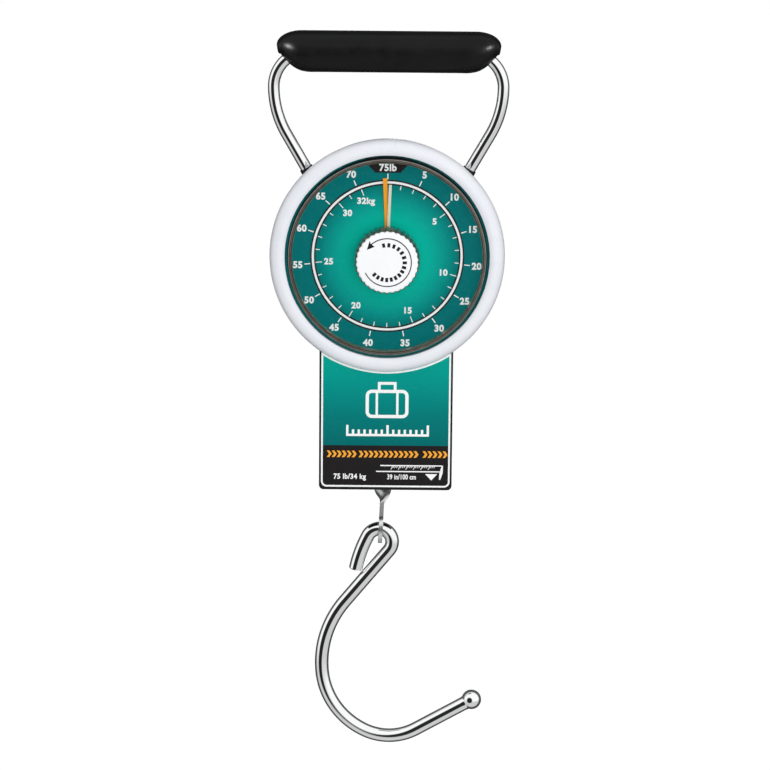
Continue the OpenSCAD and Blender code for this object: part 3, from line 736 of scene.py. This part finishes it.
def make_knob():
    front, seam, back = FACE_LOW.y, FACE_HIGH.y, KNOB_HIGH.y
    under = WINDOW_LOW.y - 0.3 * MM
    face = [(4 * MM, front), (11.4 * MM, front), (12.1 * MM, front + 0.02 * MM)]
    face += arc((CAP_R - 0.8 * MM, front + 0.86 * MM), 0.8 * MM, -84, 0, 7)
    face += [(CAP_R, seam - 0.15 * MM), (CAP_R - 0.15 * MM, seam - 0.02 * MM), (4 * MM, seam - 0.02 * MM)]
    cap = disc_solid("knob_cap", face, "reset_knob", "cap_plastic",
                     KNOB_LOBES * 16, knob_ripple(0.032))
    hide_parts("knob_face")
    side = [(11 * MM, seam), (KNOB_R - 0.3 * MM, seam), (KNOB_R + 0.25 * MM, seam + 0.5 * MM),
            (KNOB_R + 0.25 * MM, under - 0.4 * MM), (KNOB_R - 0.1 * MM, under),
            (NECK_R, under), (NECK_R, back), (3.2 * MM, back), (3.2 * MM, seam + 2.6 * MM),
            (1 * MM, seam + 2.6 * MM), (1 * MM, seam)]
    body = ring_solid("knob_grip", side, "reset_knob", "knob_plastic",
                      KNOB_LOBES * 16, knob_ripple(0.065), 30)
    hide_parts("knob_body")
    marks = Print((DIAL.x, DIAL.z))
    line_r, line_w = 10.15 * MM, 0.45 * MM
    marks.band(line_r - line_w / 2, line_r + line_w / 2, -42, 244, 160)
    head = [(x * MM, z * MM) for x, z in ((-8.6, 5.3), (-7.4, 9.2), (-6.9, 7.8), (-5.3, 6.7))]
    marks.outline(head)
    # A row of plain dashes follows the arrow
    for angle in list(range(-12, 92, 17)) + list(range(106, 232, 15)):
        marks.tick(angle, 6.5 * MM, 8.3 * MM, 1.2 * MM)
    marks.build("knob_marks", FACE_LOW.y, "reset_knob", "black_ink", "white_plastic")


# ---- dial print ----

LB_STEP = 5
LB_FULL = 75
KG_PER_LB = 0.45359
SCALE_R = 31.6 * MM
FIGURE_H = 3.1 * MM
LB_FIGURE_R = 38.2 * MM
KG_LAST = 32
KG_FIGURE_R = 25.0 * MM


def clock_point(angle, radius):
    """A point at an angle in degrees, clockwise from the top."""
    return (radius * math.sin(math.radians(angle)), radius * math.cos(math.radians(angle)))


def make_dial_print():
    ring, black, figures = (Print((DIAL.x, DIAL.z)) for _ in range(3))
    black.band(SCALE_R - 1.15 * MM, SCALE_R + 1.15 * MM)
    ring.band(SCALE_R - 0.48 * MM, SCALE_R + 0.48 * MM)
    for pounds in range(0, LB_FULL, LB_STEP):
        angle = 360 * pounds / LB_FULL
        figures.tick(angle, 32.9 * MM, 35.3 * MM, 0.45 * MM)
        if pounds:
            at = clock_point(angle, LB_FIGURE_R)
            figures.text(str(pounds), FIGURE_H, at, bold=0.045, stretch=0.99)
    for kilos in range(1, KG_LAST + 1):
        angle = 360 * kilos / (LB_FULL * KG_PER_LB)
        long = kilos % 5 == 0 or kilos == KG_LAST
        figures.tick(angle, (27.8 if long else 28.8) * MM, 30.55 * MM, 0.36 * MM)
        if long:
            word = f"{kilos}kg" if kilos == KG_LAST else str(kilos)
            at = clock_point(angle, KG_FIGURE_R)
            figures.text(word, FIGURE_H * 0.92, at, bold=0.045, stretch=1.02)
    # The plate behind the top figure, and the stop mark above it
    black.outline([(-8.1 * MM, 38.6 * MM), (-5.3 * MM, 35.7 * MM), (5.3 * MM, 35.7 * MM),
                   (8.1 * MM, 38.6 * MM), (8.6 * MM, 39.6 * MM), (-8.6 * MM, 39.6 * MM)])
    figures.text("75lb", FIGURE_H * 1.03, (0, 37.9 * MM), bold=0.04, stretch=0.98)
    black.band(42.6 * MM, 45.0 * MM, -13, 13, 24)
    black.build("dial_black_print", DIAL_Y, "case", "black_ink", "printed_dial", 0.03 * MM)
    ring.build("dial_ring_print", DIAL_Y - 0.03 * MM, "case", "white_ink", "printed_dial", 0.03 * MM)
    figures.build("dial_figures", DIAL_Y - 0.03 * MM, "case", "white_ink", "printed_dial", 0.03 * MM)


# ---- label print ----

def rounded_path(x, z0, z1, radius, steps=8):
    """Anticlockwise corner arcs at the bottom of the label, up to its top."""
    path = arc((-x + radius, z0 + radius), radius, 180, 270, steps)
    path += arc((x - radius, z0 + radius), radius, 270, 360, steps)
    return path


def make_label_print():
    white, orange = Print(), Print()
    low = LABEL_LOW.z
    border_x = 27.35 * MM
    border_low = low + 0.85 * MM
    line = 0.75 * MM
    ring_r = 50.55 * MM
    half = math.asin(border_x / ring_r)
    arc_z = DIAL.z - ring_r * math.cos(half)
    path = rounded_path(border_x, border_low, arc_z, 2.1 * MM)
    # Up the right side, then back along the arc under the ring
    path += [(ring_r * math.sin(a), DIAL.z - ring_r * math.cos(a))
             for a in np.linspace(half, -half, 60)]
    white.frame_line(path, line)
    base = CASE_Z
    # A plain suitcase: rounded body, handle and two straps
    middle, w, h, stroke = 0.5 * MM, 17 * MM, 11 * MM, 1.4 * MM
    body_z = base + 37.9 * MM
    body = [(x + middle, z + body_z) for cx, cz, turn in ((-1, -1, 180), (1, -1, 270), (1, 1, 0), (-1, 1, 90))
            for x, z in arc((cx * (w / 2 - 2 * MM), cz * (h / 2 - 2 * MM)), 2 * MM, turn, turn + 90, 6)]
    white.frame_line(body, stroke)
    top = body_z + h / 2 + stroke / 2
    for side in (-1, 1):
        x = middle + side * 3.4 * MM
        white.rectangle(x - 0.6 * MM, top, x + 0.6 * MM, top + 2.2 * MM)
        x = middle + side * 4.4 * MM
        white.rectangle(x - 0.5 * MM, body_z - h / 2 + stroke / 2, x + 0.5 * MM, body_z + h / 2 - stroke / 2)
    white.rectangle(middle - 4 * MM, top + 2.2 * MM, middle + 4 * MM, top + 3.4 * MM)
    # A plain scale bar where a name would be
    bar_z, bar_w = base + 23.7 * MM, 34.6 * MM
    middle = 0.8 * MM
    white.rectangle(middle - bar_w / 2 - 0.5 * MM, bar_z, middle + bar_w / 2 + 0.5 * MM, bar_z + 1.0 * MM)
    for k in range(15):
        tall = 4.9 if k % 7 == 0 else 2.9
        x = middle + bar_w * (k / 14 - 0.5)
        white.rectangle(x - 0.5 * MM, bar_z + 1.0 * MM, x + 0.5 * MM, bar_z + tall * MM)
    # Three groups of orange chevrons on the black field
    z, half, thick, pitch = base + 15.8 * MM, 1.45 * MM, 1.15 * MM, 2.15 * MM
    for start, count in ((-25.3, 6), (-11.6, 12), (15.9, 5)):
        for k in range(count):
            x = start * MM + k * pitch
            orange.outline([(x, z - half), (x + thick, z - half), (x + thick + half * 0.7, z),
                            (x + thick, z + half), (x, z + half), (x + half * 0.7, z)])
    white.text("75 lb/34 kg", 2.4 * MM, (-15.3 * MM, base + 5.6 * MM), stretch=0.93)
    white.text("39 in/100 cm", 2.3 * MM, (7.0 * MM, base + 5.8 * MM), stretch=0.74)
    # The tape: two long edges, short slanted marks, its bent end and an arrow down
    edge = 0.25 * MM
    tape_top, tape_low = base + 10.8 * MM, base + 8.2 * MM
    white.rectangle(-2.2 * MM, tape_top - edge, 24.3 * MM, tape_top + edge)
    white.rectangle(-4.0 * MM, tape_low - edge, 23.7 * MM, tape_low + edge)
    for k in range(24):
        x = (2.4 + 0.8 * k) * MM
        drop = (1.7 if k % 4 == 0 else 1.0) * MM
        white.rectangle(x - 0.14 * MM, tape_top - drop, x + 0.14 * MM, tape_top - edge, 0.4 * drop)
    white.outline([(24.2 * MM, tape_top - edge), (23.3 * MM, tape_low - 0.3 * MM),
                   (23.1 * MM, tape_low - 3.5 * MM), (23.7 * MM, tape_low - 3.5 * MM),
                   (24.7 * MM, tape_low - 0.5 * MM), (24.8 * MM, tape_top + edge)])
    white.outline([(19.8 * MM, base + 4.4 * MM), (22.4 * MM, base + 7.2 * MM),
                   (17.1 * MM, base + 7.2 * MM)])
    white.build("label_print", LABEL_Y, "case", "white_ink", "printed_label", 0.03 * MM)
    orange.build("label_chevrons", LABEL_Y, "case", "orange_ink", "printed_label", 0.03 * MM)


# ---- springs and tape ----

PIN_Z = -62 * MM
YOKE_Z = -121.8 * MM


def make_spring(side):
    """A close-wound extension spring with a loop round the pin and one through the pull bar."""
    node = f"main_spring_{side}"
    low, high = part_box(node)
    centre_x = (low.x + high.x) / 2
    wire, turns = 0.85 * MM, 24
    radius = (high.x - low.x) / 2 - wire
    pitch = 2 * wire * 1.02
    bottom = YOKE_Z + 8.2 * MM
    steps = 20
    line = [Vector((centre_x + radius * math.cos(2 * math.pi * k / steps),
                    radius * math.sin(2 * math.pi * k / steps), bottom + pitch * k / steps))
            for k in range(turns * steps + 1)]
    top = line[-1].z
    loop = 3 * MM
    upper, lower = PIN_Z - 0.6 * MM, YOKE_Z + loop
    ease = np.linspace(0, 1, 9)[1:]
    rise = [Vector((centre_x + radius * (1 - t) ** 2, 2 * wire * t, top + (upper - loop - top) * t))
            for t in ease]
    hook_up = [Vector((centre_x + loop * math.sin(a), 0, upper - loop * math.cos(a)))
               for a in np.linspace(0.25, 5.2, 22)]
    fall = [Vector((centre_x + radius * (1 - t) ** 2, 0, bottom - (bottom - lower - loop) * t))
            for t in ease]
    hook_down = [Vector((centre_x, loop * math.sin(a), lower + loop * math.cos(a)))
                 for a in np.linspace(0.25, 5.2, 22)]
    path = hook_down[::-1] + fall[::-1] + line + rise + hook_up
    spring = sweep_along(f"spring_{side}", path, wire, "spring_steel")
    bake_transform(spring)
    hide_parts(node)


def sweep_along(name, path, radius, material, sides=10):
    """A round wire along any points, its ring of points kept from twisting."""
    points = []
    normal = Vector((0, 1, 0))
    for k, here in enumerate(path):
        along = (path[min(k + 1, len(path) - 1)] - path[max(k - 1, 0)]).normalized()
        normal = (normal - along * normal.dot(along)).normalized()
        other = along.cross(normal)
        points += [here + radius * (normal * math.cos(t) + other * math.sin(t))
                   for t in np.linspace(0, 2 * math.pi, sides, endpoint=False)]
    faces = grid_faces(len(path), sides)
    faces += [tuple(range(sides)), tuple(range((len(path) - 1) * sides, len(path) * sides))]
    return finish_mesh(name, points, faces, None, material, 60)


def make_tape():
    """The strip between reel and tab. It is drawn at full reach and stored squeezed, spaced so that
    it stretches evenly over the slide's travel; its marks are a layer on it."""
    low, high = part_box("tape_strip")
    reach = next(j for j in frame["joints"] if j["name"] == "tape_pull")["range_m"][1]
    rest = high.z - low.z
    t = np.linspace(0, 1, 4001)
    drop = t * rest + (3 * t**2 - 2 * t**3) * reach

    def stored(distance):
        """The height at rest of a point that is distance below the reel at full reach."""
        return high.z - rest * float(np.interp(distance, drop, t))

    full = rest + reach
    levels = np.linspace(0, full, 206)
    bow = 0.12 * MM
    points, columns = [], 7
    for level in levels:
        z = stored(level)
        ys = np.linspace(low.y, high.y, columns)
        sag = [bow * (1 - (2 * k / (columns - 1) - 1) ** 2) for k in range(columns)]
        points += [(low.x + s * 0.5, y, z) for y, s in zip(ys, sag)]
        points += [(high.x - bow + s * 0.5, y, z) for y, s in zip(ys[::-1], sag[::-1])]
    faces = grid_faces(len(levels), 2 * columns)
    around = 2 * columns
    last = (len(levels) - 1) * around
    faces += [tuple(range(around)), tuple(range(last, last + around))]
    strip = finish_mesh("tape_band", points, faces, None, "tape_yellow")
    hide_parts("tape_strip")
    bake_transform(strip)
    mark_points, mark_faces = [], []
    x0, x1 = high.x + 0.01 * MM, high.x + 0.03 * MM

    def mark(y0, y1, from_tip, width):
        near, far = stored(full - from_tip + width / 2), stored(full - from_tip - width / 2)
        corners = [(x, y, z) for x in (x0, x1) for y, z in ((y0, near), (y1, near), (y1, far), (y0, far))]
        o = len(mark_points)
        mark_points.extend(corners)
        box = ((0, 1, 2, 3), (4, 5, 6, 7), (0, 1, 5, 4), (1, 2, 6, 5), (2, 3, 7, 6), (3, 0, 4, 7))
        mark_faces.extend(tuple(o + i for i in f) for f in box)

    for millimetres in range(2, 1000):
        long = 5.0 if millimetres % 10 == 0 else 2.6 if millimetres % 5 == 0 else 1.7
        mark(high.y - long * MM, high.y - 0.1 * MM, millimetres * MM, 0.25 * MM)
    marks = finish_mesh("tape_marks", mark_points, mark_faces, None, "black_ink")
    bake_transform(marks)


# ---- CAD nodes that stay ----

def dress_nodes():
    """Every CAD node gets the material of its slot in the record."""
    slots = {s["node"]: s["material_slot"] for s in frame["record"]["subparts"]}
    for name, node in NODES.items():
        node.data.materials.clear()
        node.data.materials.append(MATERIALS[slots[name]])
        node.data.polygons.foreach_set("material_index", [0] * len(node.data.polygons))


# ---- studio ----

def make_floor():
    """A pale floor below the tape's full reach, wide enough to fill the view behind the object."""
    half, z = 16.0, -1.35
    mesh = bpy.data.meshes.new("floor")
    mesh.from_pydata([(-half, -half, z), (half, -half, z), (half, half, z), (-half, half, z)],
                     [], [(0, 1, 2, 3)])
    floor = bpy.data.objects.new("floor", mesh)
    SCENE.collection.objects.link(floor)
    n = Nodes("floor")
    colour = n.mix(n.spread(n.noise(0.4, 3), 0, 1), (0.9, 0.9, 0.9, 1), (0.93, 0.93, 0.93, 1))
    mesh.materials.append(n.set(Base_Color=colour, Roughness=0.9, Specular_IOR_Level=0.1,
                                Emission_Color=(1, 1, 1, 1), Emission_Strength=0.55))
    floor.visible_glossy = floor.visible_diffuse = floor.visible_shadow = False


def area_light(name, at, to, size, power):
    light = bpy.data.lights.new(name, "AREA")
    light.shape = "RECTANGLE"
    light.size, light.size_y = size
    light.energy = power
    obj = bpy.data.objects.new(name, light)
    SCENE.collection.objects.link(obj)
    obj.location = at
    obj.rotation_euler = (Vector(to) - Vector(at)).to_track_quat("-Z", "Y").to_euler()
    return obj


def make_studio():
    """Soft light from a bright ring round a dark front and a dark back, so that metal shows edges."""
    world = bpy.data.worlds.new("studio")
    SCENE.world = world
    world.use_nodes = True
    tree = world.node_tree
    tree.nodes.clear()
    new, link = tree.nodes.new, tree.links.new
    direction = new("ShaderNodeTexCoord").outputs["Generated"]

    def towards(vector, start, end, low, high):
        """A smooth change from low to high as a direction nears vector, by their dot product."""
        dot = new("ShaderNodeVectorMath")
        dot.operation = "DOT_PRODUCT"
        dot.inputs[1].default_value = vector
        link(direction, dot.inputs[0])
        smooth = new("ShaderNodeMapRange")
        smooth.interpolation_type = "SMOOTHSTEP"
        for key, value in (("From Min", start), ("From Max", end), ("To Min", low), ("To Max", high)):
            smooth.inputs[key].default_value = value
        link(dot.outputs["Value"], smooth.inputs["Value"])
        return smooth.outputs["Result"]

    def product(a, b):
        times = new("ShaderNodeMath")
        times.operation = "MULTIPLY"
        link(a, times.inputs[0])
        link(b, times.inputs[1])
        return times.outputs[0]

    to_camera = Vector((0, -math.cos(VIEW_TILT), math.sin(VIEW_TILT)))
    left = math.radians(24)
    to_dark = Vector((-math.sin(left), -math.cos(left), 0.03)).normalized()
    shades = product(towards((0, 0, 1), -0.35, 0.0, 0.62, 1.0), towards(to_camera, -0.35, 0.1, 0.1, 1.12))
    shades = product(shades, towards(to_dark, 0.8, 0.89, 1.0, 0.02))
    seen = new("ShaderNodeLightPath")
    mirrored = new("ShaderNodeMapRange")
    mirrored.inputs["To Min"].default_value = 0.7
    link(seen.outputs["Is Glossy Ray"], mirrored.inputs["Value"])
    ring, plain = new("ShaderNodeBackground"), new("ShaderNodeBackground")
    link(product(shades, mirrored.outputs["Result"]), ring.inputs["Strength"])
    ring.inputs["Color"].default_value = (0.99, 1, 1, 1)
    plain.inputs["Color"].default_value = (1, 1, 1, 1)
    mix = new("ShaderNodeMixShader")
    link(seen.outputs["Is Camera Ray"], mix.inputs["Fac"])
    link(ring.outputs["Background"], mix.inputs[1])
    link(plain.outputs["Background"], mix.inputs[2])
    output = new("ShaderNodeOutputWorld")
    link(mix.outputs["Shader"], output.inputs["Surface"])
    # Two small lights for the sheen on the ends of the grip, which they alone reach
    grip_only = bpy.data.collections.new("grip_only")
    grip_only.objects.link(bpy.data.objects["grip_moulding"])
    for name, side, power in (("key", -1, 36), ("fill", 1, 18)):
        sheen = area_light(name, (1.05 * side, -0.67, 0.28), (0, 0, 0), (0.2, 0.2), power)
        sheen.visible_diffuse = False
        sheen.light_linking.receiver_collection = grip_only
    # Two large ones, which show in no mirror
    for name, at, power in (("front", (0.1, -1.35, 0.02), 11), ("back", (0.3, 1.3, 0.4), 9)):
        area_light(name, at, (0, 0, -0.15), (0.9, 0.9), power).visible_glossy = False
    SCENE.view_settings.view_transform = "Standard"


VIEW_TILT = math.radians(11.5)
VIEW_ROLL = math.radians(0.5)
VIEW_DISTANCE = 1.4
VIEW_TARGET = Vector((0, -0.006, -0.1426))
VIEW_LENS = 152.3
VIEW_SHIFT = -0.0014


def make_camera():
    data = bpy.data.cameras.new("camera")
    data.sensor_width = 36
    data.lens = VIEW_LENS
    data.shift_x = VIEW_SHIFT
    camera = bpy.data.objects.new("camera", data)
    SCENE.collection.objects.link(camera)
    away = Vector((0, -math.cos(VIEW_TILT), math.sin(VIEW_TILT)))
    place = Matrix.Translation(VIEW_TARGET + away * VIEW_DISTANCE)
    aim = (-away).to_track_quat("-Z", "Y").to_matrix().to_4x4()
    camera.matrix_world = place @ aim @ Matrix.Rotation(VIEW_ROLL, 4, "Z")
    SCENE.camera = camera


make_camera()
make_floor()
dress_nodes()
make_grip()
make_bail()
make_hook()
make_window()
make_knob()
make_dial_print()
make_label_print()
make_spring("left")
make_spring("right")
make_tape()
make_studio()
